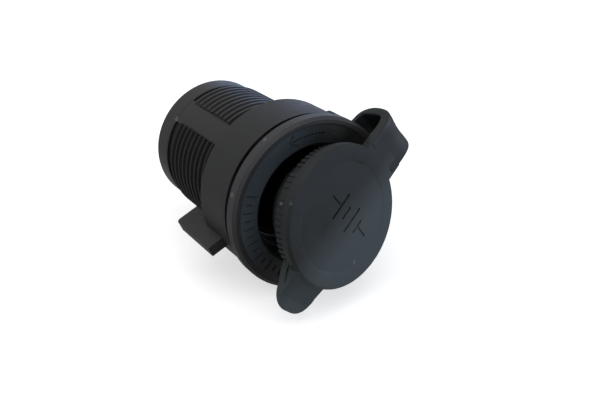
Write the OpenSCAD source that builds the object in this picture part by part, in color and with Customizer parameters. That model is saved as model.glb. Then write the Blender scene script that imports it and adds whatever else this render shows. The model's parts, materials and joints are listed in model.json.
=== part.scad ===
// Panel-mounted 12 volt power socket with a wing nut and a tethered rubber cap.
// Each piece is drawn with the socket's axis along z and its face towards +z,
// and in_place() then lays that axis level, with the face towards -Y.

/* [Barrel and flange] */
// Wall of the barrel round its metal sleeve
barrel_wall = 2.95; // [2.2:0.05:5]
// Length of the barrel behind the panel seat
barrel_len = 39.2; // [38:0.1:55]
// Length of the plain collar at the barrel's rear end
collar_len = 5; // [3:0.1:6]
// Depth of the closed wall at the barrel's rear end
rear_wall = 3; // [2.6:0.1:5]
// How far the flange stands out past the barrel
flange_out = 3.7; // [3:0.1:7]
// Thickness of the flange
flange_t = 2.9; // [2.4:0.1:5]
// Width of the bevel round the flange's front edge
flange_bevel = 0.6; // [0.2:0.1:0.9]
// How much wider than the sleeve the recess in the face is, at each side
mouth_step = 1; // [0.6:0.1:1.2]
// Depth of that recess below the panel seat
mouth_depth = 2.5; // [2:0.1:3.5]
// Length of the barrel's own throat between the recess and the sleeve
throat_len = 5; // [2:0.1:8]
// Height of the two twist lock lugs inside the recess
lug_h = 1.6; // [1:0.1:1.9]
// Angle that each lug spans
lug_angle = 34; // [20:1:60]

/* [Thread] */
// Distance from one thread ridge to the next
thread_pitch = 1.8; // [1.4:0.05:2.5]
// Height of a ridge above its groove
thread_h = 0.85; // [0.5:0.05:1]
// How far the ridges stand out past the plain barrel
thread_proud = 0.4; // [0.2:0.05:0.6]
// Angle of each smooth land that interrupts the thread
land_angle = 24; // [10:1:40]
// Direction of the first land, seen from the face
land_dir = 132; // [0:1:360]

/* [Wing nut] */
// Wall of the nut's ring, outside its thread
nut_wall = 2.74; // [1.6:0.02:5]
// Length of the nut's ring
nut_len = 11.2; // [8:0.1:16]
// How far the two ears stand out past the ring
ear_out = 3.4; // [1.5:0.1:8]
// Thickness of an ear
ear_t = 2.2; // [1.5:0.1:4]
// Distance from the panel seat to the front end of an ear
ear_front = 5; // [3:0.1:8]
// Distance from the panel seat to the rear end of an ear
ear_rear = 19.2; // [15:0.1:24]
// Direction of the first ear, seen from the face
ear_dir = 24.5; // [0:0.5:360]

/* [Cap] */
// Diameter of the cap's smooth head
cap_d = 27.8; // [26.6:0.1:32]
// Thickness of the smooth head
cap_head_t = 2.2; // [1.6:0.1:4]
// Thickness of the ribbed lip behind the head
cap_lip_t = 2; // [1.4:0.1:3]
// Number of ribs round the lip
cap_ribs = 72; // [24:4:96]
// Gap between the cap's hollow plug and the lugs in the recess
plug_gap = 1.1; // [0.9:0.1:2.5]
// Length of the plug behind the lip
plug_len = 5; // [3:0.1:5.2]
// Wall thickness of the plug
plug_wall = 1.6; // [1:0.1:3]
// How far the pull tab stands out past the cap's head
tab_out = 6.1; // [4:0.1:10]
// Width of the pull tab's round end
tab_w = 8.8; // [6:0.1:12]
// Width of the pull tab where it leaves the cap
tab_root_w = 10.8; // [9:0.1:18]
// Direction of the pull tab, seen from the face
tab_dir = 230; // [190:5:250]
// Thickness of the pull tab
tab_t = 1.5; // [1:0.1:1.8]
// Angle at which the cap stands open
cap_rest = 12.5; // [12:0.5:16]

/* [Tether] */
// Direction of the strap, seen from the face
strap_dir = 36; // [0:0.5:360]
// Width of the strap
strap_w = 9.4; // [6:0.1:12]
// Thickness of the strap
strap_t = 1.8; // [1.2:0.1:2]
// Thickness of the ring behind the flange
ring_t = 0.9; // [0.6:0.1:1.5]
// Distance from the flange's edge out to the axis that the strap bends about
bend_out = 3.3; // [2.9:0.1:6]
// Height of that axis in front of the panel seat
bend_z = 4.5; // [3.8:0.1:5]

/* [Contacts] */
// Inside diameter of the metal sleeve that grips a plug
sleeve_d = 21; // [20.8:0.05:21.2]
// Wall thickness of the sleeve
sleeve_wall = 0.5; // [0.4:0.05:0.7]
// Diameter of the centre contact
button_d = 8; // [7:0.1:9]
// Travel of the centre contact
button_travel = 1.6; // [1:0.1:1.9]
// Wire thickness of the centre contact's spring
spring_wire = 0.5; // [0.4:0.05:0.6]
// Number of turns in that spring
spring_turns = 4; // [3:1:5]
// Diameter of the threaded stud
stud_d = 4; // [3:0.1:5]
// Wall of the insulating bush round the stud
bush_wall = 1.6; // [1:0.1:2]
// Width of a blade terminal
blade_w = 6.3; // [4.8:0.1:6.4]
// Thickness of a blade terminal
blade_t = 0.8; // [0.5:0.1:1]
// Distance from the barrel's rear end to the blades' tips
blade_reach = 9.8; // [9:0.1:14]
// Gap between the ground blade and the sleeve's outside
ground_in = 2; // [1.8:0.1:2.2]
// Width across the flats of the stud's nut
stud_nut_w = 7; // [6:0.1:8]
// Diameter of the fibre washer behind the barrel
washer_d = 12.8; // [11:0.1:14]

/* [Fits] */
// Radial gap of a fixed fit
fit_gap = 0.05; // [0.03:0.01:0.1]
// Gap between two pieces that move past each other
run_gap = 0.1; // [0.06:0.01:0.2]

/* [Hidden] */
$fn = 96;

// The barrel is built round its sleeve
sleeve_r = sleeve_d / 2;
sleeve_out = sleeve_r + sleeve_wall;
sleeve_top = -mouth_depth - throat_len;
throat_r = sleeve_out - 0.2;
barrel_r = sleeve_out + fit_gap + barrel_wall;
flange_r = barrel_r + flange_out;
crest_r = barrel_r + thread_proud;
root_r = crest_r - thread_h;
mouth_r = sleeve_out + mouth_step;
lug_in = sleeve_out + 0.3;
rear_z = -barrel_len;
// The lands and the shank lie a little below the collar
land_r = barrel_r - 0.2;
relief_z = rear_z + collar_len + 0.3;
lug_dir = 60;

// The thread runs from just behind the panel seat to the rear collar
shank_len = 2.6;
thread_top = -shank_len - thread_pitch / 2;
thread_bottom = rear_z + collar_len + thread_pitch / 2;
ridges = floor((thread_top - thread_bottom) / thread_pitch);
ridge_base = thread_pitch * 0.8;
ridge_crest = thread_pitch * 0.35;
// Each ridge is sunk a little into the barrel, and its ends into the lands
ridge_sink = 0.3;
ridge_foot = ridge_base + ridge_sink * (ridge_base - ridge_crest) / thread_h;
thread_angle = 180 - land_angle;
ridge_runout = 1.2;

// The sleeve stands on the rear wall, and the contact stack stands in the sleeve
floor_z = rear_z + rear_wall;
floor_top = floor_z + sleeve_wall;
neck_step = 0.3;
bush_t = 1;
bush_top = floor_top + bush_t;
stud_r = stud_d / 2;
bush_neck = stud_r + bush_wall;
stud_head_t = 0.8;
stud_head_r = bush_neck + 1.4;
bush_head_r = stud_head_r + 0.4;
stud_top = bush_top + stud_head_t;
pin_r = 1.2;
pin_len = 1.8;

// The button's foot is caught under the lip of its guide
button_r = button_d / 2;
foot_r = button_r + 0.8;
foot_t = 0.7;
foot_z = stud_top + button_travel + 0.1;
guide_lip_z = foot_z + foot_t + run_gap;
guide_top = guide_lip_z + 1.4;
button_top = guide_top + button_travel + 0.6;
button_wall = 0.8;
neck_z = button_top + 0.4;
guide_r = sleeve_r - neck_step - fit_gap;

// What stands behind the rear wall, in order
washer_t = 1;
washer_z = rear_z - washer_t;
pos_z = washer_z - blade_t;
lock_t = 0.9;
lock_z = pos_z - lock_t;
hex_t = 3.2;
hex_z = lock_z - hex_t;
stud_end = hex_z - 1;
blade_end = rear_z - blade_reach;
pos_reach = 6.5;
rivet_r = 1;
foot_len = 3.4;
ground_r = sleeve_out - ground_in;
blade_hole_r = 0.8;
blade_hole_z = blade_end + blade_w / 2;
blade_taper = 0.7;

// The coil runs from the stud's head to the inside of the button
spring_r = 2.2;
spring_low = stud_top;
spring_high = button_top - button_wall;
spring_rings = 18 * spring_turns;
wire_sides = 8;

// The cap is drawn shut and then swung open about the strap's bend
lip_z = flange_t + 0.05;
head_z = lip_z + cap_lip_t;
cap_top = head_z + cap_head_t;
cap_r = cap_d / 2;
lip_r = cap_r - 0.7;
plug_r = lug_in - plug_gap;
cap_rim = 2.7;
cap_dish = 0.15;
root_end = cap_r + 2.8;
root_z = cap_top - 0.3 - strap_t;
tab_r = cap_r + tab_out;
bend_r = flange_r + bend_out;

// The strap runs from the ring, round its bend and back to the cap
ring_in = land_r + fit_gap;
ear_step = 0.8;

// The nut runs over the ridges, and the rubber ring lies in the groove in front of it
nut_in = crest_r + 0.06;
nut_r = nut_in + nut_wall;
ear_r = nut_r + ear_out;
ring_r = nut_r - 1;

module in_place() {
    rotate([90, 0, 0]) children();
}

// Turns the closed cap about the strap's bend to where it stands open
module swung() {
    rotate([0, 0, strap_dir])
        translate([bend_r, 0, bend_z])
            rotate([0, cap_rest, 0])
                translate([-bend_r, 0, -bend_z])
                    rotate([0, 0, -strap_dir])
                        children();
}

// A tube from z0 to z1
module tube(r_out, r_in, z0, z1) {
    translate([0, 0, z0])
        difference() {
            cylinder(h = z1 - z0, r = r_out);
            translate([0, 0, -1]) cylinder(h = z1 - z0 + 2, r = r_in);
        }
}

// A solid turned from a profile of [radius, z] points, over an angle that starts at a0
module turned(points, a0 = 0, angle = 360) {
    rotate([0, 0, a0]) rotate_extrude(angle = angle) polygon(points);
}

// One thread ridge, which is an arc between two lands
module ridge(z, a0) {
    turned([
        [root_r - ridge_sink, z - ridge_foot / 2],
        [crest_r, z - ridge_crest / 2],
        [crest_r, z + ridge_crest / 2],
        [root_r - ridge_sink, z + ridge_foot / 2]
    ], a0 - ridge_runout, thread_angle + 2 * ridge_runout);
}

module barrel_outside() {
    turned([
        [0, rear_z],
        [barrel_r - 0.5, rear_z],
        [barrel_r, rear_z + 0.5],
        [barrel_r, rear_z + collar_len],
        [land_r, rear_z + collar_len],
        [land_r, 0.1],
        [0, 0.1]
    ]);
}

// The hollow that the thread stands in, between the two lands
module thread_relief() {
    for (side = [0, 180])
        turned([
            [root_r, relief_z],
            [barrel_r + 1, relief_z],
            [barrel_r + 1, -shank_len],
            [root_r, -shank_len]
        ], land_dir + side + land_angle / 2, thread_angle);
}

module thread() {
    for (side = [0, 1])
        for (i = [0 : ridges - 1])
            ridge(thread_top - (i + 0.25 + side / 2) * thread_pitch, land_dir + side * 180 + land_angle / 2);
}

module flange_outside() {
    rim_w = 0.7;
    rim_h = 0.25;
    turned([
        [0, 0],
        [flange_r - 0.3, 0],
        [flange_r, 0.3],
        [flange_r, flange_t - flange_bevel],
        [flange_r - flange_bevel, flange_t],
        [flange_r - flange_bevel - rim_w, flange_t],
        [flange_r - flange_bevel - rim_w - rim_h, flange_t - rim_h],
        [0, flange_t - rim_h]
    ]);
}

module housing_bores() {
    turned([
        [0, floor_z],
        [sleeve_out + fit_gap, floor_z],
        [sleeve_out + fit_gap, sleeve_top + fit_gap],
        [throat_r, sleeve_top + fit_gap],
        [throat_r, -mouth_depth],
        [mouth_r, -mouth_depth],
        [mouth_r, flange_t - 0.8],
        [mouth_r + 0.9, flange_t + 0.1],
        [0, flange_t + 0.1]
    ]);
    translate([0, 0, rear_z - 1]) cylinder(h = rear_wall + 2, r = bush_neck + fit_gap);
    ground_place()
        translate([-blade_t / 2 - run_gap, -blade_w / 2 - run_gap, rear_z - 1])
            cube([blade_t + 2 * run_gap, blade_w + 2 * run_gap, rear_wall + 2]);
    ground_place()
        translate([-foot_len, -blade_w / 2 - run_gap, floor_z - blade_t])
            cube([foot_len + blade_t / 2 + run_gap, blade_w + 2 * run_gap, blade_t + 1]);
}

module housing() {
    color("#35373a") {
        difference() {
            union() {
                difference() {
                    barrel_outside();
                    thread_relief();
                }
                thread();
                flange_outside();
            }
            housing_bores();
        }
        for (side = [0, 180])
            turned([
                [lug_in, -mouth_depth - 0.2],
                [mouth_r + 0.2, -mouth_depth - 0.2],
                [mouth_r + 0.2, -mouth_depth + lug_h],
                [lug_in, -mouth_depth + lug_h - 0.3]
            ], lug_dir + side, lug_angle);
    }
}

// One ear stands on the ring and runs on past its rear end, clear of the thread
module ear() {
    clear_r = crest_r + 1;
    corner = 0.9;
    root = nut_r - min(1.4, nut_wall / 2);
    rotate([90, 0, 0])
        translate([0, 0, -ear_t / 2])
            linear_extrude(ear_t) {
                translate([root, -nut_len]) square([ear_r - root, nut_len - ear_front]);
                translate([clear_r, -ear_rear + corner])
                    square([ear_r - clear_r, ear_rear - nut_len]);
                translate([clear_r, -ear_rear]) square([ear_r - clear_r - corner, corner + 0.1]);
                translate([ear_r - corner, -ear_rear + corner]) circle(r = corner, $fn = 32);
            }
}

module wing_nut() {
    front = -ring_t - run_gap;
    rear = front - nut_len;
    color("#3b3d3f") {
        turned([
            [nut_in + 0.5, front],
            [nut_r - 0.4, front],
            [nut_r, front - 0.4],
            [nut_r, rear + 0.8],
            [nut_r - 0.8, rear],
            [nut_in + 0.5, rear],
            [nut_in, rear + 0.5],
            [nut_in, front - 0.5]
        ]);
        for (side = [0, 180])
            rotate([0, 0, ear_dir + side]) ear();
    }
}

module tether_ring() {
    color("#303234")
        difference() {
            union() {
                translate([0, 0, -ring_t]) cylinder(h = ring_t, r = ring_r);
                rotate([0, 0, strap_dir])
                    translate([barrel_r + 0.5, -strap_w / 2, -ring_t])
                        cube([flange_r - barrel_r + ear_step, strap_w, ring_t]);
            }
            translate([0, 0, -ring_t - 1]) cylinder(h = ring_t + 2, r = ring_in);
        }
}

// The cap's own end of the strap, worked out where the open cap holds it
function swing_x(x, z) = bend_r + (x - bend_r) * cos(cap_rest) + (z - bend_z) * sin(cap_rest);
function swing_z(x, z) = bend_z - (x - bend_r) * sin(cap_rest) + (z - bend_z) * cos(cap_rest);

// The strap's middle line, in the plane through the axis and the strap
strap_a = [flange_r + ear_step + 0.5 + fit_gap, -ring_t / 2];
strap_b = [bend_r + 0.55, bend_z - 0.2];
strap_c = [swing_x(root_end + fit_gap, root_z + strap_t / 2), swing_z(root_end + fit_gap, root_z + strap_t / 2)];
strap_steps = 12;
cap_way = [cos(cap_rest), -sin(cap_rest)];
function bezier(p, t) =
    let (u = 1 - t)
    p[0] * u * u * u + p[1] * 3 * u * u * t + p[2] * 3 * u * t * t + p[3] * t * t * t;
lower_leg = [strap_a, strap_a + [1.4, 0.05], strap_b - [0, 2.1], strap_b];
upper_leg = [strap_b, strap_b + [0, 1.8], strap_c + cap_way * 2.1, strap_c];
function strap_at(k) =
    k <= strap_steps ? bezier(lower_leg, k / strap_steps) : bezier(upper_leg, (k - strap_steps) / strap_steps);
function strap_way(k) =
    k == 0 ? [1, 0] : k == 2 * strap_steps ? -cap_way : unit(strap_at(k + 1) - strap_at(k - 1));
function unit(v) = v / norm(v);
// The strap is as thin as the ring where it leaves it
function half_t(k) = (ring_t + (strap_t - ring_t) * min(1, k / (0.6 * strap_steps))) / 2;
function strap_edge(k, side) =
    let (w = strap_way(k))
    strap_at(k) + [w[1], -w[0]] * side * half_t(k);

module tether_strap() {
    outline = concat(
        [for (k = [0 : 2 * strap_steps]) strap_edge(k, 1)],
        [for (k = [2 * strap_steps : -1 : 0]) strap_edge(k, -1)]
    );
    color("#3b3e40")
        rotate([0, 0, strap_dir])
            rotate([90, 0, 0])
                translate([0, 0, -strap_w / 2])
                    linear_extrude(strap_w) polygon(outline);
}

module cap_body() {
    turned([
        [0, head_z - 0.2],
        [lip_r, head_z - 0.2],
        [lip_r, head_z],
        [cap_r - 0.3, head_z],
        [cap_r, head_z + 0.3],
        [cap_r, cap_top - 0.5],
        [cap_r - 0.5, cap_top],
        [cap_r - cap_rim, cap_top],
        [cap_r - cap_rim - 0.5, cap_top - cap_dish],
        [0, cap_top - cap_dish]
    ]);
    rib_w = 360 / cap_ribs;
    translate([0, 0, lip_z]) cylinder(h = cap_lip_t, r = lip_r - 0.22);
    for (i = [0 : cap_ribs - 1])
        rotate([0, 0, i * rib_w])
            translate([lip_r - 0.7, -lip_r * sin(rib_w) * 0.3, lip_z])
                cube([0.7, lip_r * sin(rib_w) * 0.6, cap_lip_t - 0.1]);
    turned([
        [plug_r - plug_wall, lip_z + 0.2],
        [plug_r - plug_wall, lip_z - plug_len],
        [plug_r - 0.6, lip_z - plug_len],
        [plug_r, lip_z - plug_len + 0.9],
        [plug_r, lip_z - plug_len + 1.7],
        [plug_r - 0.35, lip_z - plug_len + 2.2],
        [plug_r - 0.35, lip_z + 0.2]
    ]);
}

// A round end between two straight sides that widen towards the cap
module tab_outline() {
    end_r = tab_w / 2;
    end_x = tab_r - end_r;
    root_x = lip_r - 2.4;
    splay = atan((tab_root_w - tab_w) / 2 / (end_x - cap_r + end_r / 2));
    side_x = end_x + (end_r - 0.15) * sin(splay);
    side_y = (end_r - 0.15) * cos(splay);
    translate([end_x, 0]) circle(r = end_r);
    polygon([
        [root_x, -tab_root_w / 2],
        [cap_r - 0.6, -tab_root_w / 2],
        [side_x, -side_y],
        [side_x, side_y],
        [cap_r - 0.6, tab_root_w / 2],
        [root_x, tab_root_w / 2]
    ]);
}

module cap() {
    color("#454b4d")
        swung() {
            cap_body();
            rotate([0, 0, tab_dir])
                translate([0, 0, lip_z])
                    linear_extrude(tab_t) tab_outline();
            rotate([0, 0, strap_dir])
                translate([lip_r - 1.2, -strap_w / 2, root_z])
                    cube([root_end - lip_r + 1.2, strap_w, strap_t]);
        }
}

module contact_sleeve() {
    color("#b9b6ab")
        difference() {
            turned([
                [0, floor_z],
                [sleeve_out, floor_z],
                [sleeve_out, sleeve_top],
                [sleeve_r, sleeve_top],
                [sleeve_r, neck_z],
                [sleeve_r - neck_step, neck_z],
                [sleeve_r - neck_step, floor_top],
                [0, floor_top]
            ]);
            translate([0, 0, floor_z - 1]) cylinder(h = 3, r = bush_neck + fit_gap);
            ground_place() translate([-foot_len / 2, 0, floor_z - 1]) cylinder(h = 3, r = rivet_r + fit_gap);
        }
}

// The ground blade stands on the side away from the strap
module ground_place() {
    rotate([0, 0, strap_dir + 180]) translate([ground_r, 0, 0]) children();
}

module ground_terminal() {
    color("#c9a85c")
        ground_place()
            difference() {
                union() {
                    translate([-blade_t / 2, -blade_w / 2, blade_end + 0.6])
                        cube([blade_t, blade_w, floor_z - blade_end - 0.6]);
                    translate([-blade_t / 2, -blade_w / 2 + blade_taper, blade_end])
                        cube([blade_t, blade_w - 2 * blade_taper, 0.7]);
                    translate([-foot_len + 0.1, -blade_w / 2, floor_z - blade_t])
                        cube([foot_len - 0.1, blade_w, blade_t]);
                }
                translate([-foot_len / 2, 0, floor_z - 2]) cylinder(h = 3, r = rivet_r + fit_gap);
                translate([-blade_t, 0, blade_hole_z]) rotate([0, 90, 0]) cylinder(h = 2 * blade_t, r = blade_hole_r);
            }
}

module ground_rivet() {
    color("#b9a06a")
        ground_place()
            translate([-foot_len / 2, 0, 0]) {
                translate([0, 0, floor_z - blade_t]) cylinder(h = blade_t + sleeve_wall + 0.1, r = rivet_r);
                translate([0, 0, floor_top]) cylinder(h = 0.6, r = rivet_r + 0.5);
            }
}

module insulator_bush() {
    color("#8a5a3a")
        difference() {
            union() {
                translate([0, 0, floor_top]) cylinder(h = bush_t, r = bush_head_r);
                translate([0, 0, rear_z]) cylinder(h = floor_top - rear_z + 0.1, r = bush_neck);
            }
            translate([0, 0, rear_z - 1]) cylinder(h = barrel_len, r = stud_r + fit_gap);
        }
}

module contact_stud() {
    color("#c9a85c") {
        translate([0, 0, stud_end]) cylinder(h = bush_top - stud_end + 0.1, r = stud_r);
        translate([0, 0, bush_top]) cylinder(h = stud_head_t, r = stud_head_r);
        translate([0, 0, stud_top]) cylinder(h = pin_len, r = pin_r);
    }
}

// The guide stands on the sleeve's floor, holds the stud's head down and catches the button
module contact_guide() {
    color("#2b2c2e")
        difference() {
            turned([
                [bush_head_r + fit_gap, floor_top],
                [guide_r, floor_top],
                [guide_r, guide_top - 0.6],
                [guide_r - 0.6, guide_top],
                [button_r + run_gap, guide_top],
                [button_r + run_gap, guide_lip_z],
                [foot_r + run_gap, guide_lip_z],
                [foot_r + run_gap, stud_top],
                [stud_head_r + fit_gap, stud_top],
                [stud_head_r + fit_gap, bush_top],
                [bush_head_r + fit_gap, bush_top]
            ]);
            ground_place()
                translate([-foot_len / 2, 0, floor_top - 1]) cylinder(h = 2, r = rivet_r + 0.7);
        }
}

// A coil of round wire, swept along its helix
function coil_z(t) = spring_low + spring_wire / 2 + (spring_high - spring_low - spring_wire) * t;
function coil_point(t, s) =
    let (a = 360 * spring_turns * t, b = 360 * s / wire_sides, w = spring_wire / 2 - 0.01)
    [(spring_r + w * cos(b)) * cos(a), (spring_r + w * cos(b)) * sin(a), coil_z(t) + w * sin(b)];

module contact_spring() {
    points = [for (i = [0 : spring_rings]) for (s = [0 : wire_sides - 1]) coil_point(i / spring_rings, s)];
    side_faces = [for (i = [0 : spring_rings - 1]) for (s = [0 : wire_sides - 1])
        let (n = (s + 1) % wire_sides)
        [i * wire_sides + s, (i + 1) * wire_sides + s, (i + 1) * wire_sides + n, i * wire_sides + n]];
    first_end = [for (s = [0 : wire_sides - 1]) s];
    last_end = [for (s = [wire_sides - 1 : -1 : 0]) spring_rings * wire_sides + s];
    color("#9a9c9e") polyhedron(points, concat(side_faces, [first_end, last_end]));
}

module contact_button() {
    color("#c9a85c")
        turned([
            [0, button_top - button_wall],
            [button_r - button_wall, button_top - button_wall],
            [button_r - button_wall, foot_z],
            [foot_r, foot_z],
            [foot_r, foot_z + foot_t],
            [button_r, foot_z + foot_t],
            [button_r, button_top - 0.9],
            [button_r - 0.9, button_top],
            [0, button_top]
        ]);
}

module fibre_washer() {
    color("#7c4a30") tube(washer_d / 2, stud_r + fit_gap, washer_z, rear_z);
}

module positive_terminal() {
    color("#c9a85c")
        rotate([0, 0, strap_dir])
            difference() {
                union() {
                    translate([0, 0, pos_z]) cylinder(h = blade_t, r = stud_r + 2.4);
                    translate([0, -blade_w / 2, pos_z]) cube([pos_reach, blade_w, blade_t]);
                    translate([pos_reach - blade_t, -blade_w / 2, blade_end + 0.6])
                        cube([blade_t, blade_w, pos_z + blade_t - blade_end - 0.6]);
                    translate([pos_reach - blade_t, -blade_w / 2 + blade_taper, blade_end])
                        cube([blade_t, blade_w - 2 * blade_taper, 0.7]);
                }
                translate([0, 0, pos_z - 1]) cylinder(h = 3, r = stud_r + fit_gap);
                translate([pos_reach - 2 * blade_t, 0, blade_hole_z])
                    rotate([0, 90, 0]) cylinder(h = 3 * blade_t, r = blade_hole_r);
            }
}

module lock_washer() {
    color("#a9abad")
        difference() {
            tube(stud_r + 1.5, stud_r + fit_gap, lock_z, pos_z);
            translate([0, -0.3, lock_z - 1]) cube([stud_d, 0.6, lock_t + 2]);
        }
}

module stud_nut() {
    color("#c9a85c")
        difference() {
            translate([0, 0, hex_z]) cylinder(h = hex_t, r = stud_nut_w / sqrt(3), $fn = 6);
            translate([0, 0, hex_z - 1]) cylinder(h = hex_t + 2, r = stud_r + fit_gap);
        }
}

in_place() housing();
in_place() wing_nut();
in_place() tether_ring();
in_place() tether_strap();
in_place() cap();
in_place() contact_sleeve();
in_place() ground_terminal();
in_place() ground_rivet();
in_place() insulator_bush();
in_place() contact_stud();
in_place() contact_guide();
in_place() contact_spring();
in_place() contact_button();
in_place() fibre_washer();
in_place() positive_terminal();
in_place() lock_washer();
in_place() stud_nut();
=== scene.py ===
"""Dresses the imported 12 volt power socket: finishes, bending strap, moulded marks, floor and lights."""

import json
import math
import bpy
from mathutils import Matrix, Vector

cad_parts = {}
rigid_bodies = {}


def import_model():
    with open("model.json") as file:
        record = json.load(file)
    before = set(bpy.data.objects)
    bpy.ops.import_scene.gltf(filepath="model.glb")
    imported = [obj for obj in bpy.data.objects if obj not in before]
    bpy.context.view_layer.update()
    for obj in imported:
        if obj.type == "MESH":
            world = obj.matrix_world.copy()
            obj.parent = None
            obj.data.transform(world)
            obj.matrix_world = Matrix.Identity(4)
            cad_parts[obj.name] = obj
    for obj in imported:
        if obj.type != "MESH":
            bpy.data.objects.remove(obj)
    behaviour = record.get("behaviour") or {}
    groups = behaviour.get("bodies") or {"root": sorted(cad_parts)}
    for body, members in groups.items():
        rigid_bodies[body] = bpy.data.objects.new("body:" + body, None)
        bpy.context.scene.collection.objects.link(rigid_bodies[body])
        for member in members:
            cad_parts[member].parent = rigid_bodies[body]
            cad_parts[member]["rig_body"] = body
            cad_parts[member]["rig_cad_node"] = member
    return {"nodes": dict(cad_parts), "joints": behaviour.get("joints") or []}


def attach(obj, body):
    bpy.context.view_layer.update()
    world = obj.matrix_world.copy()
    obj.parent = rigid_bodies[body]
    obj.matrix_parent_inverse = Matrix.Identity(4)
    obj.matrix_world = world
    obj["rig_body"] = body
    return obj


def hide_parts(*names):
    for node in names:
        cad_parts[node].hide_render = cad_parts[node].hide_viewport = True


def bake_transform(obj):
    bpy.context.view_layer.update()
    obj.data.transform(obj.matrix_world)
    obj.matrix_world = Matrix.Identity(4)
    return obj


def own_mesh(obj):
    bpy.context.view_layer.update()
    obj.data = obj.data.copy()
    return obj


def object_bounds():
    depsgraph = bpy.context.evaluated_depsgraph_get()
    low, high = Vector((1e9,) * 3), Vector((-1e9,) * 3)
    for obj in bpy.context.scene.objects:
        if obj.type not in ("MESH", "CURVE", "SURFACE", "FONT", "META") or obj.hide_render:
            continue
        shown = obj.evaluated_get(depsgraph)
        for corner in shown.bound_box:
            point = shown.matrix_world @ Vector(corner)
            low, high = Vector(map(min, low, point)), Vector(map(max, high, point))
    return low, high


bl_info = {
    "name": "Power Socket Dresser",
    "version": (1, 0, 0),
    "blender": (4, 5, 0),
    "location": "View3D > Sidebar > Socket",
    "description": "Gives the panel power socket its finishes, its strap and its moulded marks",
    "category": "Object",
}

import bpy
from mathutils import Matrix, Vector

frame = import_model()
CAD_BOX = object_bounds()

MM = 0.001
FACE_Y = -2.65 * MM  # the sunk part of the flange's face
STRAP_ANGLE = math.radians(36)  # direction of the strap, seen from the face
TAB_ANGLE = math.radians(230)  # direction of the cap's pull tab, seen from the face
CAP_OPEN = math.radians(12.5)  # how far the cap stands open in the photo
HEAD_Y = -7.0 * MM  # the sunk part of the closed cap's head
RAGGED = 1.2  # how far in mm the edge of a rubbed spot wanders
MIX_SHARE, MIX_A, MIX_B, MIX_RESULT = 0, 6, 7, 2  # the sockets of a colour Mix node
HINGE = next(j for j in frame["joints"] if j["name"] == "cap_swing")
HINGE_AT = Vector(HINGE["pos_m"])
HINGE_AXIS = Vector(HINGE["axis"])


def linear(code):
    """An sRGB hex colour as the linear RGBA that Blender's sockets take."""
    parts = [int(code[i:i + 2], 16) / 255 for i in (1, 3, 5)]
    return [c / 12.92 if c <= 0.04045 else ((c + 0.055) / 1.055) ** 2.4 for c in parts] + [1.0]


# Sizes and colours that a user would change

def colour_prop(name, description, code):
    return bpy.props.FloatVectorProperty(
        name=name, description=description, subtype="COLOR", size=4, min=0, max=1, default=linear(code)
    )


def length_prop(name, description, mm, low, high):
    return bpy.props.FloatProperty(
        name=name, description=description, unit="LENGTH", subtype="DISTANCE",
        default=mm * MM, min=low * MM, max=high * MM,
    )


class SocketColours(bpy.types.PropertyGroup):
    barrel: colour_prop("Barrel", "Nylon of the barrel", "#141517")
    # Painted sheen: the top of the barrel drawn lighter and bluish, as though lit from above
    barrel_painted_sheen: colour_prop("Barrel haze", "Painted bluish sheen on the top of the barrel", "#1d2d3b")
    # The rim's nylon is drawn lighter than the barrel's as painted light on the rim band, and its upper side
    # paler still
    rim: colour_prop("Rim", "Nylon of the flange's rim", "#1e1e1f")
    rim_painted_light: colour_prop("Rim haze", "Painted light on the upper side of the rim", "#38393c")
    # The face's nylon is drawn lighter than the barrel's, and its left gets a painted bluish reflection
    face: colour_prop("Face", "Nylon of the flange's face", "#1b1c1c")
    face_painted_reflection: colour_prop("Face haze", "Painted bluish reflection on the left of the face", "#4a555d")
    nut: colour_prop("Nut", "Nylon of the wing nut", "#17181a")
    # Painted reflection: the lower side of the wing nut drawn lighter
    nut_painted_reflection: colour_prop("Nut haze", "Painted reflection on the lower side of the wing nut", "#2a2a2a")
    rubber: colour_prop("Rubber", "Rubber of the cap and strap", "#0e1416")
    # Painted highlight: the lower right of the cap drawn lighter and bluish
    rubber_painted_highlight: colour_prop("Rubber haze", "Painted highlight on the lower right of the cap", "#465155")
    # The plating's darker grey is partly real dulling and partly painted shade in the socket's mouth
    plating: colour_prop("Plating", "Dulled nickel plate of the inner shell", "#8f8d86")
    brass: colour_prop("Brass", "Brass of the stud, button and blades", "#c9a75a")
    fibre: colour_prop("Fibre", "Vulcanised fibre of the insulators", "#6b3a26")
    steel: colour_prop("Steel", "Plain spring steel", "#a9abad")
    floor: colour_prop("Floor", "Studio floor", "#f4f4f4")


class SocketSizes(bpy.types.PropertyGroup):
    strap_width: length_prop("Strap width", "Width of the tether strap", 9.5, 6, 12)
    strap_thickness: length_prop("Strap thickness", "Thickness of the tether strap", 1.9, 1.2, 2.4)
    mark_width: length_prop("Mark width", "Width of the battery sign on the cap", 13, 8, 16)
    mark_depth: length_prop("Mark depth", "Depth of the moulded marks", 0.22, 0.05, 0.4)
    mark_radius: length_prop("Mark radius", "Radius of the ring of marks on the face", 14.5, 13.5, 15.5)


# Small helpers

def start_fresh():
    if bpy.context.object and bpy.context.object.mode != "OBJECT":
        bpy.ops.object.mode_set(mode="OBJECT")
    bpy.ops.object.select_all(action="DESELECT")


def only(*objects):
    start_fresh()
    for o in objects:
        o.select_set(True)
    bpy.context.view_layer.objects.active = objects[0]


def settle(piece, matrix):
    """Puts a piece in its place and leaves that place in its mesh."""
    piece.matrix_world = matrix
    only(piece)
    bpy.ops.object.transform_apply(location=True, rotation=True, scale=True)


def face_matrix(radius, angle, depth, turn=0.0):
    """Stands a flat shape drawn in XY on the face, at a radius and an angle seen from the front."""
    x, z = radius * math.cos(angle), radius * math.sin(angle)
    upright = Matrix.Rotation(math.radians(90), 4, "X")
    spin = Matrix.Rotation(turn, 4, "Z")
    return Matrix.Translation((x, depth, z)) @ upright @ spin


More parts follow.
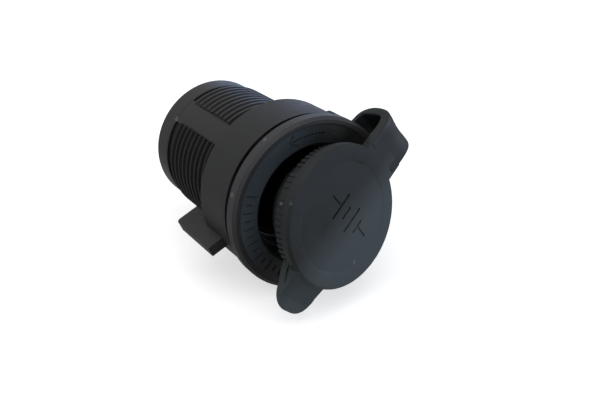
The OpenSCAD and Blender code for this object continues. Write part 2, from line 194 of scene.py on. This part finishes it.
def cap_matrix(radius, angle, depth, turn=0.0):
    """The same on the closed cap's head, and then swung open with it."""
    swing = (
        Matrix.Translation(HINGE_AT)
        @ Matrix.Rotation(CAP_OPEN, 4, HINGE_AXIS)
        @ Matrix.Translation(-HINGE_AT)
    )
    return swing @ face_matrix(radius, angle, depth, turn)


def dressed_copy(node, name, body):
    """A welded and smoothed copy of a CAD node, which takes the node's place and can be cut."""
    only(frame["nodes"][node])
    bpy.ops.object.duplicate(linked=False)
    piece = bpy.context.active_object
    piece.name = piece.data.name = name
    piece.parent = None
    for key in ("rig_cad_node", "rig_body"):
        if key in piece:
            del piece[key]
    bpy.ops.mesh.customdata_custom_splitnormals_clear()
    bpy.ops.object.mode_set(mode="EDIT")
    bpy.ops.mesh.select_all(action="SELECT")
    bpy.ops.mesh.remove_doubles(threshold=0.002 * MM)
    bpy.ops.object.mode_set(mode="OBJECT")
    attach(piece, body)
    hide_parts(node)
    return piece


def combine(piece, tool, operation):
    """Cuts a tool out of a piece or joins it to the piece."""
    before = len(piece.data.polygons)
    only(piece)
    modifier = piece.modifiers.new("Combine", "BOOLEAN")
    modifier.operation = operation
    modifier.solver = "EXACT"
    modifier.use_self = True
    modifier.object = tool
    bpy.ops.object.modifier_apply(modifier=modifier.name)
    only(tool)
    bpy.ops.object.delete()
    after = len(piece.data.polygons)
    if after == before or after < 0.6 * before:
        raise RuntimeError(piece.name + " has " + str(after) + " faces after the Boolean, not " + str(before))


def root_wedge():
    """The soft root from the cap's head down to its pull tab, on the closed cap seen from the front."""
    start_fresh()
    bpy.ops.mesh.primitive_cube_add(size=1)
    wedge = bpy.context.active_object
    # Along the tab it runs from inside the cap to near the tab's end, in height from the tab to the head
    inner, outer = 12.6 * MM, 18.8 * MM
    under, level, top = 3.2 * MM, 4.38 * MM, 6.9 * MM
    wide = 10.4 * MM
    wedge.scale = (outer - inner, wide, top - under)
    wedge.location = ((outer + inner) / 2, 0, (top + under) / 2)
    bpy.ops.object.transform_apply(location=True, rotation=True, scale=True)
    bpy.ops.object.mode_set(mode="EDIT")
    for i in range(1, 16):
        bpy.ops.mesh.select_all(action="SELECT")
        bpy.ops.mesh.bisect(plane_co=(inner + (outer - inner) * i / 16, 0, 0), plane_no=(1, 0, 0))
    for i in range(-5, 6):
        bpy.ops.mesh.select_all(action="SELECT")
        bpy.ops.mesh.bisect(plane_co=(0, 0.85 * MM * i, 0), plane_no=(0, 1, 0))
    bpy.ops.mesh.select_all(action="SELECT")
    bpy.ops.mesh.bisect(plane_co=(0, 0, under + 0.55 * (top - under)), plane_no=(0, 0, 1))
    bpy.ops.object.mode_set(mode="OBJECT")
    # The tab's own outline: straight sides that draw in, and a round end
    end_at, end_radius, root_half = 15.6 * MM, 4.4 * MM, 5.3 * MM
    for v in wedge.data.vertices:
        share = min(1.0, max(0.0, (v.co.x - 13.0 * MM) / (5.0 * MM)))
        fall = share * (1.5 - 0.5 * share)
        height = (v.co.z - under) / (top - under)
        v.co.z = under + height * (top - under - (top - level) * fall)
        if v.co.x < end_at:
            half = root_half + (end_radius - root_half) * (v.co.x - inner) / (end_at - inner)
        else:
            half = math.sqrt(end_radius ** 2 - (v.co.x - end_at) ** 2)
        # Its upper right edge leans in more than its left one
        lean = 0.36 if v.co.y > 0 else 0.05
        half *= 1 - lean * height ** 2 * (1 - fall)
        v.co.y *= (half + 0.02 * MM) / (wide / 2)
    stand = Matrix.Rotation(TAB_ANGLE, 4, "Z")
    settle(wedge, stand)
    return wedge


def smooth(piece, degrees=32):
    """Smooth walls with crisp corners, and flat faces that stay flat."""
    only(piece)
    bpy.ops.object.shade_smooth_by_angle(angle=math.radians(degrees))
    modifier = piece.modifiers.new("Even", "WEIGHTED_NORMAL")
    modifier.keep_sharp = True
    modifier.weight = 80
    bpy.ops.object.modifier_apply(modifier=modifier.name)


def bar_stamp(width, height, thickness, x=0.0, y=0.0):
    start_fresh()
    bpy.ops.mesh.primitive_cube_add(size=1, location=(x, y, 0))
    stamp = bpy.context.active_object
    stamp.scale = (width, height, thickness * 2)
    bpy.ops.object.transform_apply(location=True, rotation=True, scale=True)
    return stamp


def bezier(points, t):
    """A point of a cubic curve through its two end points."""
    weights = ((1 - t) ** 3, 3 * t * (1 - t) ** 2, 3 * t * t * (1 - t), t ** 3)
    return tuple(sum(w * p[axis] for w, p in zip(weights, points)) for axis in (0, 1))


def joined(stamps):
    only(*stamps)
    bpy.ops.object.join()
    return bpy.context.active_object


# Materials

def add_node(tree, kind, settings=(), links=()):
    """Adds a node, sets its sockets and options, and links what feeds it."""
    node = tree.nodes.new(kind)
    for key, value in dict(settings).items():
        if isinstance(key, int) or key in node.inputs:
            node.inputs[key].default_value = value
        else:
            setattr(node, key, value)
    for key, source in dict(links).items():
        tree.links.new(source, node.inputs[key])
    return node


def new_material(name):
    material = bpy.data.materials.new(name)
    material.use_nodes = True
    material.node_tree.nodes.clear()
    return material, material.node_tree


def per_mm(size_mm):
    """The noise scale whose features are about that size, on Object coordinates in metres."""
    return 1 / (size_mm * MM)


def with_painted_light(tree, base, at, painted_light):
    """Painted light or shade that grows along a way, mixed into the colour. A painted light is that way, its
    start and its end in mm, and its colour.
    """
    way, start, end, tint = painted_light
    along = add_node(tree, "ShaderNodeVectorMath", {"operation": "DOT_PRODUCT", 1: way}, {0: at})
    share = add_node(
        tree, "ShaderNodeMapRange", {"From Min": start * MM, "From Max": end * MM},
        {"Value": along.outputs["Value"]},
    )
    painted_mix = add_node(
        tree, "ShaderNodeMix", {"data_type": "RGBA", MIX_B: list(tint)},
        {MIX_SHARE: share.outputs["Result"], MIX_A: base},
    )
    return painted_mix.outputs[MIX_RESULT]


def with_spots(tree, base, at, speckle, spots):
    """Small rubbed spots with a ragged edge. A spot is its place and its width in mm."""
    ragged = add_node(
        tree, "ShaderNodeVectorMath", {"operation": "MULTIPLY_ADD", 1: (RAGGED * MM,) * 3},
        {0: speckle, 2: at},
    )
    for x, y, z, wide in spots:
        centre = tuple((place + RAGGED / 2) * MM for place in (x, y, z))
        away = add_node(
            tree, "ShaderNodeVectorMath", {"operation": "DISTANCE", 1: centre}, {0: ragged.outputs["Vector"]}
        )
        share = add_node(
            tree, "ShaderNodeMapRange",
            {"From Min": 0.5 * wide * MM, "From Max": 0.1 * wide * MM, "To Max": 0.55},
            {"Value": away.outputs["Value"]},
        )
        rubbed = add_node(
            tree, "ShaderNodeMix", {"data_type": "RGBA", MIX_B: linear("#8a8a86")},
            {MIX_SHARE: share.outputs["Result"], MIX_A: base},
        )
        base = rubbed.outputs[MIX_RESULT]
    return base


def moulded_polymer(
    name, colour, roughness, grain_mm, grain_depth, bloom, scuffs, mirror=0.4, painted_light=None, spots=()
):
    """A dark moulded polymer: fine grain, uneven gloss, a pale dusty bloom and a few small scuffs."""
    material, tree = new_material(name)
    at = add_node(tree, "ShaderNodeTexCoord").outputs["Object"]
    cloud = add_node(
        tree, "ShaderNodeTexNoise", {"Scale": per_mm(6), "Detail": 4.0, "Roughness": 0.6}, {"Vector": at}
    )
    # A real grain is finer: this one is as coarse as it needs to be to show
    grain = add_node(
        tree, "ShaderNodeTexNoise", {"Scale": per_mm(grain_mm), "Detail": 2.0}, {"Vector": at}
    )
    specks = add_node(
        tree, "ShaderNodeTexNoise", {"Scale": per_mm(1.1), "Detail": 3.0, "Roughness": 0.55}, {"Vector": at}
    )
    dust = add_node(
        tree, "ShaderNodeMapRange", {"From Min": 0.35, "From Max": 0.75, "To Max": bloom},
        {"Value": cloud.outputs["Fac"]},
    )
    pale = [c * 2.6 + 0.012 for c in colour[:3]] + [1.0]
    bloomed = add_node(
        tree, "ShaderNodeMix", {"data_type": "RGBA", MIX_A: list(colour), MIX_B: pale},
        {MIX_SHARE: dust.outputs["Result"]},
    )
    worn = add_node(
        tree, "ShaderNodeMapRange", {"From Min": 0.725, "From Max": 0.76, "To Max": scuffs},
        {"Value": specks.outputs["Fac"]},
    )
    scuffed = add_node(
        tree, "ShaderNodeMix", {"data_type": "RGBA", MIX_B: linear("#7c7c78")},
        {MIX_SHARE: worn.outputs["Result"], MIX_A: bloomed.outputs[MIX_RESULT]},
    )
    base = scuffed.outputs[MIX_RESULT]
    # Painted light or shade along a way, where one is given
    if painted_light:
        base = with_painted_light(tree, base, at, painted_light)
    if spots:
        base = with_spots(tree, base, at, specks.outputs["Color"], spots)
    gloss = add_node(
        tree, "ShaderNodeMapRange",
        {"From Min": 0.3, "From Max": 0.7, "To Min": roughness - 0.06, "To Max": roughness + 0.08},
        {"Value": cloud.outputs["Fac"]},
    )
    bump = add_node(
        tree, "ShaderNodeBump", {"Strength": 0.35, "Distance": grain_depth * MM},
        {"Height": grain.outputs["Fac"]},
    )
    shader = add_node(
        tree, "ShaderNodeBsdfPrincipled", {"IOR": 1.5, "Specular IOR Level": mirror},
        {"Base Color": base, "Roughness": gloss.outputs["Result"], "Normal": bump.outputs["Normal"]},
    )
    add_node(tree, "ShaderNodeOutputMaterial", {}, {"Surface": shader.outputs["BSDF"]})
    return material


def worked_metal(name, colour, roughness, streak_mm, stretch):
    """A drawn, stamped or turned metal: fine streaks along the way it was worked, a little dulled."""
    material, tree = new_material(name)
    at = add_node(tree, "ShaderNodeTexCoord").outputs["Object"]
    along = add_node(tree, "ShaderNodeMapping", {"Scale": (1.0, stretch, 1.0)}, {"Vector": at})
    # Real tool marks are finer too: these are as coarse as they need to be to show
    streaks = add_node(
        tree, "ShaderNodeTexNoise", {"Scale": per_mm(streak_mm), "Detail": 3.0},
        {"Vector": along.outputs["Vector"]},
    )
    tarnish = add_node(tree, "ShaderNodeTexNoise", {"Scale": per_mm(3), "Detail": 4.0}, {"Vector": at})
    spread = add_node(
        tree, "ShaderNodeMapRange", {"From Min": 0.4, "From Max": 0.75, "To Max": 0.6},
        {"Value": tarnish.outputs["Fac"]},
    )
    dull = [c * 0.55 for c in colour[:3]] + [1.0]
    tone = add_node(
        tree, "ShaderNodeMix", {"data_type": "RGBA", MIX_A: list(colour), MIX_B: dull},
        {MIX_SHARE: spread.outputs["Result"]},
    )
    gloss = add_node(
        tree, "ShaderNodeMapRange", {"To Min": roughness - 0.08, "To Max": roughness + 0.12},
        {"Value": streaks.outputs["Fac"]},
    )
    bump = add_node(
        tree, "ShaderNodeBump", {"Strength": 0.2, "Distance": 0.01 * MM}, {"Height": streaks.outputs["Fac"]}
    )
    shader = add_node(
        tree, "ShaderNodeBsdfPrincipled", {"Metallic": 1.0},
        {
            "Base Color": tone.outputs[MIX_RESULT],
            "Roughness": gloss.outputs["Result"],
            "Normal": bump.outputs["Normal"],
        },
    )
    add_node(tree, "ShaderNodeOutputMaterial", {}, {"Surface": shader.outputs["BSDF"]})
    return material


def wear(piece, material):
    piece.data.materials.clear()
    piece.data.materials.append(material)


def finish_of(name):
    return bpy.data.materials[name]


# One operator for each piece or group of marks

class SOCKET_OT_camera(bpy.types.Operator):
    """Stands the camera where the photo was taken from"""

    bl_idname = "socket.camera"
    bl_label = "Camera"

    def execute(self, context):
        start_fresh()
        bpy.ops.object.camera_add(
            location=(-82.28 * MM, -126.23 * MM, 70.49 * MM),
            rotation=(math.radians(64.90), 0, math.radians(-32.66)),
        )
        camera = context.active_object
        camera.name = "photo_camera"
        camera.data.sensor_width = 36
        camera.data.lens = 51.0
        camera.data.clip_start = 0.01
        context.scene.camera = camera
        return {"FINISHED"}


class SOCKET_OT_finishes(bpy.types.Operator):
    """Makes the finishes and gives each CAD node its own"""

    bl_idname = "socket.finishes"
    bl_label = "Finishes"

    def execute(self, context):
        c = context.scene.socket_colours
        # Glass-filled nylon, injection moulded: satin, slightly uneven gloss, with a painted bluish sheen on
        # the top of the barrel
        moulded_polymer(
            "moulded_glass_filled_nylon", c.barrel,
            roughness=0.42, grain_mm=0.16, grain_depth=0.03, bloom=0.5, scuffs=0.5,
            painted_light=((0.6, 0, 0.8), 10, 14, c.barrel_painted_sheen), spots=((-11.09, 34.17, 8.54, 1.4),),
        )
        # The same nylon in the thread, where grease and dirt have left it dull
        moulded_polymer(
            "grimy_thread_nylon", c.barrel,
            roughness=0.6, grain_mm=0.16, grain_depth=0.03, bloom=0.4, scuffs=0.4, mirror=0.24,
        )
        # The same nylon on the flange's rim, drawn lighter as painted light and paler still on its upper
        # side, with small spots that hands and panels have rubbed pale
        moulded_polymer(
            "rim_nylon_rubbed_and_painted_light", c.rim,
            roughness=0.46, grain_mm=0.16, grain_depth=0.03, bloom=0.5, scuffs=0.7,
            painted_light=((-0.3, 0, 0.95), -5, 8, c.rim_painted_light),
            spots=((-16.8, -1.11, 5.59, 1.2), (-9.72, -0.92, 14.79, 0.9)),
        )
        # The same nylon on the flange's face, drawn lighter, under a painted bluish reflection that fades
        # towards the bottom
        moulded_polymer(
            "face_nylon_painted_reflection", c.face,
            roughness=0.42, grain_mm=0.16, grain_depth=0.03, bloom=0.5, scuffs=0.5,
            painted_light=((-0.9, 0, 0.45), 5, 13, c.face_painted_reflection),
        )
        # Plain nylon, injection moulded against an eroded tool: duller than the barrel, its lower side drawn
        # lighter as a painted reflection
        moulded_polymer(
            "moulded_eroded_nylon", c.nut,
            roughness=0.52, grain_mm=0.2, grain_depth=0.04, bloom=0.55, scuffs=0.4,
            painted_light=((-0.3, 0, -0.95), -4, 12, c.nut_painted_reflection),
            spots=((-13.95, 11.88, 10.06, 1.1), (4.4, 7.8, 16.6, 1.3)),
        )
        # Thermoplastic rubber, moulded: soft sheen
        moulded_polymer(
            "moulded_thermoplastic_rubber", c.rubber,
            roughness=0.5, grain_mm=0.14, grain_depth=0.02, bloom=0.6, scuffs=0.5,
        )
        # The same rubber on the cap, with a painted bluish highlight on its lower right
        moulded_polymer(
            "cap_rubber_painted_highlight", c.rubber,
            roughness=0.5, grain_mm=0.14, grain_depth=0.02, bloom=0.6, scuffs=0.5,
            painted_light=((0.5, 0, -0.87), -2, 5, c.rubber_painted_highlight),
            spots=(
                (-11.51, -9.59, 6.01, 1.1),
                (-11.34, -12.67, 7.2, 0.9),
                (3.1, -12.49, -9.0, 1.0),
                (2.9, -12.6, -9.5, 1.0),
            ),
        )
        # Nickel plate on a drawn shell: grey and dulled, with faint streaks along the draw; its darker grey
        # is also painted shade in the socket's shadowed mouth
        worked_metal("drawn_nickel_plate", c.plating, roughness=0.4, streak_mm=0.12, stretch=0.08)
        # Brass stamped from sheet: warm yellow, with short rolling streaks
        worked_metal("stamped_brass", c.brass, roughness=0.34, streak_mm=0.1, stretch=0.3)
        # Turned brass: brighter, with fine rings round its axis
        worked_metal("turned_brass", c.brass, roughness=0.26, streak_mm=0.08, stretch=6.0)
        # Drawn spring steel: plain grey with a dull shine
        worked_metal("spring_steel_wire", c.steel, roughness=0.36, streak_mm=0.1, stretch=0.5)
        # Vulcanised fibre, punched from sheet: dull and slightly mottled
        moulded_polymer(
            "punched_vulcanised_fibre", c.fibre,
            roughness=0.62, grain_mm=0.25, grain_depth=0.05, bloom=0.5, scuffs=0.2,
        )
        chosen = {
            "housing": "moulded_glass_filled_nylon",
            "wing_nut": "moulded_eroded_nylon",
            "tether_ring": "moulded_thermoplastic_rubber",
            "cap": "moulded_thermoplastic_rubber",
            "contact_sleeve": "drawn_nickel_plate",
            "ground_terminal": "stamped_brass",
            "ground_rivet": "turned_brass",
            "insulator_bush": "punched_vulcanised_fibre",
            "contact_stud": "turned_brass",
            "contact_guide": "moulded_eroded_nylon",
            "contact_spring": "spring_steel_wire",
            "contact_button": "turned_brass",
            "fibre_washer": "punched_vulcanised_fibre",
            "positive_terminal": "stamped_brass",
            "lock_washer": "spring_steel_wire",
            "stud_nut": "turned_brass",
            "tether_strap": "moulded_thermoplastic_rubber",
        }
        for node, finish in chosen.items():
            mesh = frame["nodes"][node].data
            mesh.materials.clear()
            mesh.materials.append(finish_of(finish))
        return {"FINISHED"}


class SOCKET_OT_strap(bpy.types.Operator):
    """Bends a flat strap from the ring behind the flange to the cap"""

    bl_idname = "socket.strap"
    bl_label = "Tether strap"

    def execute(self, context):
        sizes = context.scene.socket_sizes
        # From the ring's ear round the bend, and into the cap, in the plane through the socket's axis
        way = (math.cos(CAP_OPEN), -math.sin(CAP_OPEN))
        end = (17.17, 6.84)
        lower = ((19.05, -0.45), (20.45, -0.4), (21.55, 2.2), (21.55, 4.3))
        upper = ((21.55, 4.3), (21.55, 6.1), (end[0] + 2.1 * way[0], end[1] + 2.1 * way[1]), end)
        route = [(17.9, -0.45), (18.5, -0.45)]
        route += [bezier(lower, i / 14) for i in range(14)] + [bezier(upper, i / 14) for i in range(15)]
        route += [(end[0] - s * way[0], end[1] - s * way[1]) for s in (0.9, 1.8, 2.8)]
        start_fresh()
        bpy.ops.curve.primitive_nurbs_path_add()
        path = context.active_object
        path.data.splines.clear()
        spline = path.data.splines.new("POLY")
        spline.points.add(len(route) - 1)
        for point, (r, z) in zip(spline.points, route):
            point.co = (r * MM, 0, z * MM, 1)
        length = sum(math.dist(a, b) for a, b in zip(route, route[1:])) * MM
        path.data.dimensions = "3D"

        start_fresh()
        bpy.ops.mesh.primitive_cube_add(size=1, location=(0.5, 0, 0))
        strap = context.active_object
        strap.name = strap.data.name = "bending_strap"
        strap.scale = (length, sizes.strap_width, sizes.strap_thickness)
        strap.location = (length / 2, 0, 0)
        bpy.ops.object.transform_apply(location=True, rotation=True, scale=True)
        bpy.ops.object.mode_set(mode="EDIT")
        bpy.ops.mesh.select_mode(type="EDGE")
        bpy.ops.mesh.select_all(action="SELECT")
        bpy.ops.mesh.bevel(offset=0.45 * MM, segments=3, affect="EDGES")
        for i in range(1, 48):
            bpy.ops.mesh.select_all(action="SELECT")
            bpy.ops.mesh.bisect(plane_co=(length * i / 48, 0, 0), plane_no=(1, 0, 0))
        for i in range(-4, 5):
            bpy.ops.mesh.select_all(action="SELECT")
            bpy.ops.mesh.bisect(plane_co=(0, sizes.strap_width * i / 11, 0), plane_no=(0, 1, 0))
        bpy.ops.object.mode_set(mode="OBJECT")
        # The strap is as thin as the ring where it leaves it, and its web is thinner than its edges
        for v in strap.data.vertices:
            share = min(1.0, max(0.0, (v.co.x / length - 0.08) / 0.22))
            thick = share * share * (3 - 2 * share)
            off_centre = min(1.0, abs(v.co.y) / (0.38 * sizes.strap_width))
            web = 1 - 0.24 * thick * (1 - off_centre ** 2) ** 2
            v.co.z *= (0.53 + 0.47 * thick) * web
        modifier = strap.modifiers.new("Bend", "CURVE")
        modifier.object = path
        modifier.deform_axis = "POS_X"
        only(strap)
        bpy.ops.object.modifier_apply(modifier=modifier.name)
        only(path)
        bpy.ops.object.delete()
        # From the strap's own plane to the row frame: outward stays, forward is -Y
        outward = Vector((math.cos(STRAP_ANGLE), 0, math.sin(STRAP_ANGLE)))
        across = Vector((-math.sin(STRAP_ANGLE), 0, math.cos(STRAP_ANGLE)))
        forward = Vector((0, -1, 0))
        frame_matrix = Matrix((outward, across, forward)).transposed().to_4x4()
        settle(strap, frame_matrix)
        only(strap)
        bpy.ops.object.mode_set(mode="EDIT")
        bpy.ops.mesh.select_all(action="SELECT")
        bpy.ops.mesh.normals_make_consistent(inside=False)
        bpy.ops.object.mode_set(mode="OBJECT")
        smooth(strap, 40)
        wear(strap, finish_of("moulded_thermoplastic_rubber"))
        # Two points of the strap, at the ring's side and at the cap's side; nothing uses them
        start, end = outward * 20.6 * MM, outward * 19.6 * MM + forward * 6.6 * MM
        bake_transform(strap)
        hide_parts("tether_strap")
        return {"FINISHED"}


class SOCKET_OT_spring(bpy.types.Operator):
    """Gives the contact's coil spring a welded, smoothed copy with its own finish and mesh"""

    bl_idname = "socket.spring"
    bl_label = "Contact spring"

    def execute(self, context):
        spring = dressed_copy("contact_spring", "coil_spring", "socket")
        smooth(spring, 40)
        wear(spring, finish_of("spring_steel_wire"))
        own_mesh(spring)
        return {"FINISHED"}


class SOCKET_OT_cap_marks(bpy.types.Operator):
    """Sinks a plain battery sign into the cap and runs the pull tab up into its head"""

    bl_idname = "socket.cap_marks"
    bl_label = "Cap marks"

    def execute(self, context):
        sizes = context.scene.socket_sizes
        depth = sizes.mark_depth
        cap = dressed_copy("cap", "marked_cap", "cap")
        # The plain electrical sign for a battery
        unit = sizes.mark_width / 13
        stroke = 0.5 * MM
        parts = [bar_stamp(3 * unit, stroke, depth, side * 4.8 * unit, 0) for side in (-1, 1)]
        for at, tall in ((-3.2, 5.8), (-1.1, 2.9), (1.1, 5.8), (3.2, 2.9)):
            parts.append(bar_stamp(stroke, tall * unit, depth, at * unit, 0))
        stamp = joined(parts)
        settle(stamp, cap_matrix(1.5 * MM, math.radians(-10), HEAD_Y, STRAP_ANGLE - math.radians(90)))
        combine(cap, stamp, "DIFFERENCE")
        root = root_wedge()
        settle(root, cap_matrix(0, 0, 0))
        combine(cap, root, "UNION")
        smooth(cap, 36)
        wear(cap, finish_of("cap_rubber_painted_highlight"))
        return {"FINISHED"}


class SOCKET_OT_nut(bpy.types.Operator):
    """Sets the wing nut's front edge back, which leaves the dark gap behind the flange"""

    bl_idname = "socket.nut"
    bl_label = "Wing nut"

    def execute(self, context):
        nut = dressed_copy("wing_nut", "dressed_nut", "nut")
        only(nut)
        bpy.ops.object.mode_set(mode="EDIT")
        bpy.ops.mesh.select_all(action="SELECT")
        bpy.ops.mesh.bisect(plane_co=(0, 1.4 * MM, 0), plane_no=(0, 1, 0), clear_inner=True, use_fill=True)
        bpy.ops.object.mode_set(mode="OBJECT")
        smooth(nut)
        wear(nut, finish_of("moulded_eroded_nylon"))
        return {"FINISHED"}


class SOCKET_OT_face_marks(bpy.types.Operator):
    """Sinks a twist arrow and a row of ticks into the flange's face"""

    bl_idname = "socket.face_marks"
    bl_label = "Face marks"

    def execute(self, context):
        sizes = context.scene.socket_sizes
        radius, depth = sizes.mark_radius, sizes.mark_depth
        housing = dressed_copy("housing", "marked_housing", "socket")
        stamps = []
        for i in range(15):
            angle = math.radians(160 + 6.5 * i)
            tick = bar_stamp((2.2 if i % 2 == 0 else 1.2) * MM, 0.34 * MM, depth)
            settle(tick, face_matrix(radius, angle, FACE_Y, angle))
            stamps.append(tick)
        # The twist arrow: a row of short steps along the arc, and an open head
        for i in range(9):
            angle = math.radians(82 + 3.2 * i)
            step = bar_stamp(0.36 * MM, 0.6 * MM, depth)
            settle(step, face_matrix(radius, angle, FACE_Y, angle))
            stamps.append(step)
        tip = math.radians(112)
        for side in (-1, 1):
            barb = bar_stamp(1.7 * MM, 0.36 * MM, depth, -1.1 * MM, 0)
            settle(barb, face_matrix(radius, tip, FACE_Y, tip + math.radians(90 + 38 * side)))
            stamps.append(barb)
        combine(housing, joined(stamps), "DIFFERENCE")
        # The smooth lands run level into the collar
        land_radius, level_radius = 13.8 * MM, 13.97 * MM
        for v in housing.data.vertices:
            reach = math.hypot(v.co.x, v.co.z)
            if abs(reach - land_radius) < 0.03 * MM and v.co.y > 25 * MM:
                v.co.x *= level_radius / reach
                v.co.z *= level_radius / reach
        smooth(housing)
        wear(housing, finish_of("moulded_glass_filled_nylon"))
        for finish in ("grimy_thread_nylon", "rim_nylon_rubbed_and_painted_light", "face_nylon_painted_reflection"):
            housing.data.materials.append(finish_of(finish))
        thread_front, thread_rear, thread_root = 12.5 * MM, 34.3 * MM, 12 * MM
        mouth_radius, rim_radius = 11.5 * MM, 16.3 * MM
        for face in housing.data.polygons:
            x, y, z = face.center
            reach = math.hypot(x, z)
            outward = (face.normal.x * x + face.normal.z * z) / reach
            around = math.degrees(math.atan2(z, x)) % 360
            land = outward > 0.97 and 13.7 * MM < reach < 14.05 * MM
            in_thread = thread_front < y < thread_rear and reach > thread_root
            if in_thread and 125 < around < 350 and not land:
                face.material_index = 1
            if reach > rim_radius and y < 0.2 * MM and face.normal.y < 0.2:
                face.material_index = 2
            if mouth_radius < reach <= rim_radius and y < -2.3 * MM and face.normal.y < 0.2:
                face.material_index = 3
        return {"FINISHED"}


class SOCKET_OT_stage(bpy.types.Operator):
    """Lays the pale floor and sets the soft studio lights"""

    bl_idname = "socket.stage"
    bl_label = "Stage"

    def execute(self, context):
        colours = context.scene.socket_colours
        low = CAD_BOX[0][2]
        start_fresh()
        bpy.ops.mesh.primitive_plane_add(size=3, location=(0, 0, low))
        floor = context.active_object
        floor.name = floor.data.name = "studio_floor"
        bpy.ops.object.transform_apply(location=True, rotation=True, scale=True)
        material, tree = new_material("matt_paper_floor")
        path = add_node(tree, "ShaderNodeLightPath")
        seen = path.outputs["Is Camera Ray"]
        # A greyer floor lights the object from below, and the camera sees the pale one
        tone = add_node(
            tree, "ShaderNodeMix",
            {"data_type": "RGBA", MIX_A: linear("#9c9c9c"), MIX_B: list(colours.floor)},
            {MIX_SHARE: seen},
        )
        mirrored = add_node(
            tree, "ShaderNodeMath", {"operation": "MULTIPLY", 1: 0.2}, {0: path.outputs["Is Glossy Ray"]}
        )
        glow = add_node(
            tree, "ShaderNodeMath", {"operation": "MULTIPLY_ADD", 1: 0.6},
            {0: seen, 2: mirrored.outputs["Value"]},
        )
        shader = add_node(
            tree, "ShaderNodeBsdfPrincipled",
            {"Roughness": 0.9, "Emission Color": (1, 1, 1, 1)},
            {"Base Color": tone.outputs[MIX_RESULT], "Emission Strength": glow.outputs["Value"]},
        )
        add_node(tree, "ShaderNodeOutputMaterial", {}, {"Surface": shader.outputs["BSDF"]})
        floor.data.materials.append(material)

        lamps = (
            ("top_softbox", (-0.25, -0.1, 0.85), 1.4, 3.6, "#ffffff"),
            ("sky_softbox", (0.5, 0.6, 0.12), 0.6, 0.6, "#8fb8ff"),
            ("right_fill", (0.36, -0.2, 0.04), 0.25, 0.5, "#c8dcff"),
        )
        for name, at, size, power, code in lamps:
            aim = (Vector((0, 0.01, 0)) - Vector(at)).to_track_quat("-Z", "Y").to_euler()
            start_fresh()
            bpy.ops.object.light_add(type="AREA", location=at, rotation=aim)
            lamp = context.active_object
            lamp.name = name
            lamp.data.shape = "DISK"
            lamp.data.size = size
            lamp.data.energy = power
            lamp.data.color = linear(code)[:3]

        world = context.scene.world or bpy.data.worlds.new("studio")
        context.scene.world = world
        world.use_nodes = True
        tree = world.node_tree
        tree.nodes.clear()
        path = add_node(tree, "ShaderNodeLightPath")
        # White to the camera, softer in reflections, and softer still as light
        mirrored = add_node(
            tree, "ShaderNodeMapRange", {"To Min": 0.34, "To Max": 0.6},
            {"Value": path.outputs["Is Glossy Ray"]},
        )
        level = add_node(
            tree, "ShaderNodeMapRange", {"To Max": 1.0},
            {"Value": path.outputs["Is Camera Ray"], "To Min": mirrored.outputs["Result"]},
        )
        sky = add_node(
            tree, "ShaderNodeBackground", {"Color": (1, 1, 1, 1)}, {"Strength": level.outputs["Result"]}
        )
        add_node(tree, "ShaderNodeOutputWorld", {}, {"Surface": sky.outputs["Background"]})
        context.scene.view_settings.view_transform = "Standard"
        return {"FINISHED"}


class SOCKET_PT_panel(bpy.types.Panel):
    """Lists the steps that dress the socket"""

    bl_idname = "SOCKET_PT_panel"
    bl_label = "Socket"
    bl_space_type = "VIEW_3D"
    bl_region_type = "UI"
    bl_category = "Socket"

    def draw(self, context):
        for group in ("socket_colours", "socket_sizes"):
            column = self.layout.column(align=True)
            for name in getattr(context.scene, group).__annotations__:
                column.prop(getattr(context.scene, group), name)
        column = self.layout.column(align=True)
        for step in STEPS:
            column.operator(step.bl_idname)


STEPS = (
    SOCKET_OT_camera,
    SOCKET_OT_finishes,
    SOCKET_OT_strap,
    SOCKET_OT_spring,
    SOCKET_OT_cap_marks,
    SOCKET_OT_nut,
    SOCKET_OT_face_marks,
    SOCKET_OT_stage,
)
CLASSES = (SocketColours, SocketSizes) + STEPS + (SOCKET_PT_panel,)


def register():
    for cls in CLASSES:
        bpy.utils.register_class(cls)
    bpy.types.Scene.socket_colours = bpy.props.PointerProperty(type=SocketColours)
    bpy.types.Scene.socket_sizes = bpy.props.PointerProperty(type=SocketSizes)


def unregister():
    del bpy.types.Scene.socket_sizes
    del bpy.types.Scene.socket_colours
    for cls in reversed(CLASSES):
        bpy.utils.unregister_class(cls)


def main():
    register()
    bpy.ops.socket.camera()
    bpy.ops.socket.finishes()
    bpy.ops.socket.strap()
    bpy.ops.socket.spring()
    bpy.ops.socket.cap_marks()
    bpy.ops.socket.nut()
    bpy.ops.socket.face_marks()
    bpy.ops.socket.stage()


if __name__ == "__main__":
    main()
